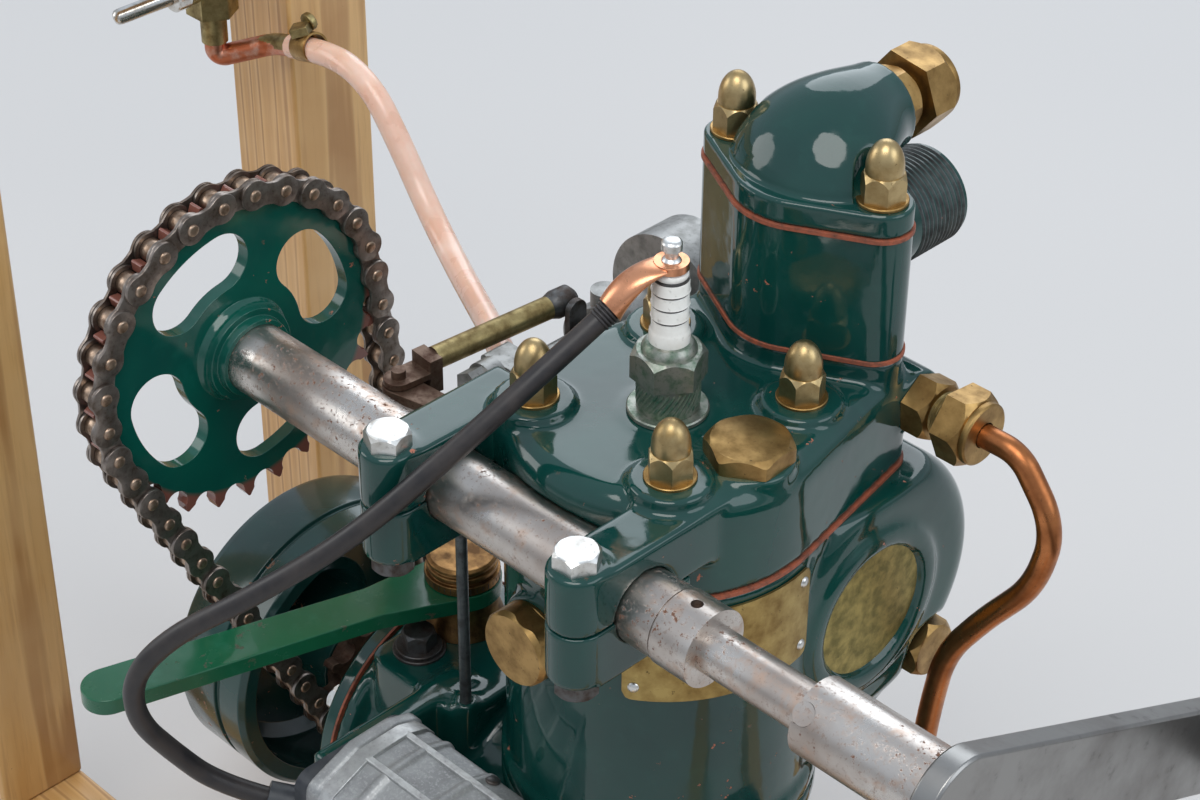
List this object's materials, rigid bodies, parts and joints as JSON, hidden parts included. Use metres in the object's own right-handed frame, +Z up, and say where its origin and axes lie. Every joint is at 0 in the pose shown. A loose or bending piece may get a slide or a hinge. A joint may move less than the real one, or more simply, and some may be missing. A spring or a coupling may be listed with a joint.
{
  "type": "marine engine",
  "caption": "Small upright petrol boat engine with a chain hand start above it, on a timber stand.",
  "frame": {"origin": "on the floor, straight below the middle of the cylinder", "axes": "+X along the crankshaft towards the starting handle, +Y towards the exhaust outlet, +Z up"},
  "size_m": [0.596, 0.29, 0.45],
  "materials": {
    "black_paint": "black end plate",
    "brass": "satin brass",
    "bright_steel": "bright steel with rust specks",
    "carburettor_alloy": "dull cast alloy",
    "ceramic": "white ceramic",
    "chain_steel": "oiled dark steel",
    "chrome": "worn chrome",
    "copper": "satin copper",
    "gasket": "red gasket board",
    "green_enamel": "glossy dark green enamel",
    "grip_black": "worn black",
    "hose_rubber": "clear pinkish fuel hose",
    "lead_rubber": "matt dark lead",
    "magneto_alloy": "sand-cast alloy",
    "timber": "varnished pine"
  },
  "bodies": {
    "engine": {"carburettor": "carburettor_alloy", "chain_end_bearing_cap": "green_enamel", "chain_inner_links": "chain_steel", "chain_outer_plates": "chain_steel", "chain_rollers": "chain_steel", "core_plug": "brass", "crankcase": "green_enamel", "crankcase_cover": "green_enamel", "cross_bearers": "timber", "cylinder": "green_enamel", "cylinder_head": "green_enamel", "exhaust_riser": "green_enamel", "front_post": "timber", "front_rail": "timber", "fuel_hose": "hose_rubber", "fuel_tap": "brass", "gaskets": "gasket", "handle_end_bearing_cap": "green_enamel", "hex_plugs": "brass", "ignition_lead": "lead_rubber", "magneto_body": "magneto_alloy", "magneto_end_cover": "black_paint", "pipe_unions": "brass", "plug_clip": "copper", "post_top_rail": "timber", "rear_post": "timber", "rear_rail": "timber", "riser_cap": "green_enamel", "spark_plug_body": "bright_steel", "spark_plug_insulator": "ceramic", "timing_body": "brass", "water_pipe": "copper"},
    "control_crank": {"control_crank": "bright_steel", "control_spindle": "bright_steel"},
    "flywheel_shaft": {"crank_sprocket": "green_enamel", "crankshaft": "bright_steel", "flywheel": "green_enamel"},
    "starter": {"drive_shaft": "bright_steel", "handle_arm": "bright_steel", "handle_grip": "grip_black", "handle_socket": "bright_steel", "start_sprocket": "green_enamel", "start_tube": "bright_steel"},
    "fuel_tap_lever": {"fuel_tap_lever": "chrome"},
    "throttle_lever": {"throttle_lever": "bright_steel"},
    "throttle_rod": {"throttle_rod": "brass"},
    "timing_lever": {"timing_lever": "green_enamel"}
  },
  "joints": [
    {"name": "handle_spin", "type": "hinge", "parent": "engine", "child": "starter", "pos_m": [0, -0.055, 0.32342], "axis": [1, 0, 0], "continuous": true, "deforming": ["chain_rollers"]},
    {"name": "flywheel_spin", "type": "hinge", "parent": "engine", "child": "flywheel_shaft", "pos_m": [0, 0, 0.15], "axis": [1, 0, 0], "continuous": true},
    {"name": "timing_lever_swing", "type": "hinge", "parent": "engine", "child": "timing_lever", "pos_m": [-0.097, 0, 0.223], "axis": [0, 0, 1], "range_deg": [-4, 11]},
    {"name": "control_crank_turn", "type": "hinge", "parent": "engine", "child": "control_crank", "pos_m": [-0.0615, -0.0315, 0.3], "axis": [0, 0, 1], "range_deg": [-8, 3]},
    {"name": "throttle_rod_swing", "type": "hinge", "parent": "control_crank", "child": "throttle_rod", "pos_m": [-0.0855, -0.035, 0.325], "axis": [0, 0, 1], "range_deg": [-8, 8]},
    {"name": "throttle_lever_turn", "type": "hinge", "parent": "engine", "child": "throttle_lever", "pos_m": [-0.072, 0.032, 0.315], "axis": [1, 0, 0], "range_deg": [-15, 15]},
    {"name": "fuel_tap_turn", "type": "hinge", "parent": "engine", "child": "fuel_tap_lever", "pos_m": [-0.278, 0.044, 0.374], "axis": [0, 1, 0], "range_deg": [-90, 0]}
  ],
  "couplings": [
    {"joint": "flywheel_spin", "follows": "handle_spin", "ratio": 2},
    {"joint": "throttle_rod_swing", "follows": "control_crank_turn", "ratio": -0.96},
    {"joint": "throttle_lever_turn", "follows": "control_crank_turn", "ratio": 1.5}
  ]
}
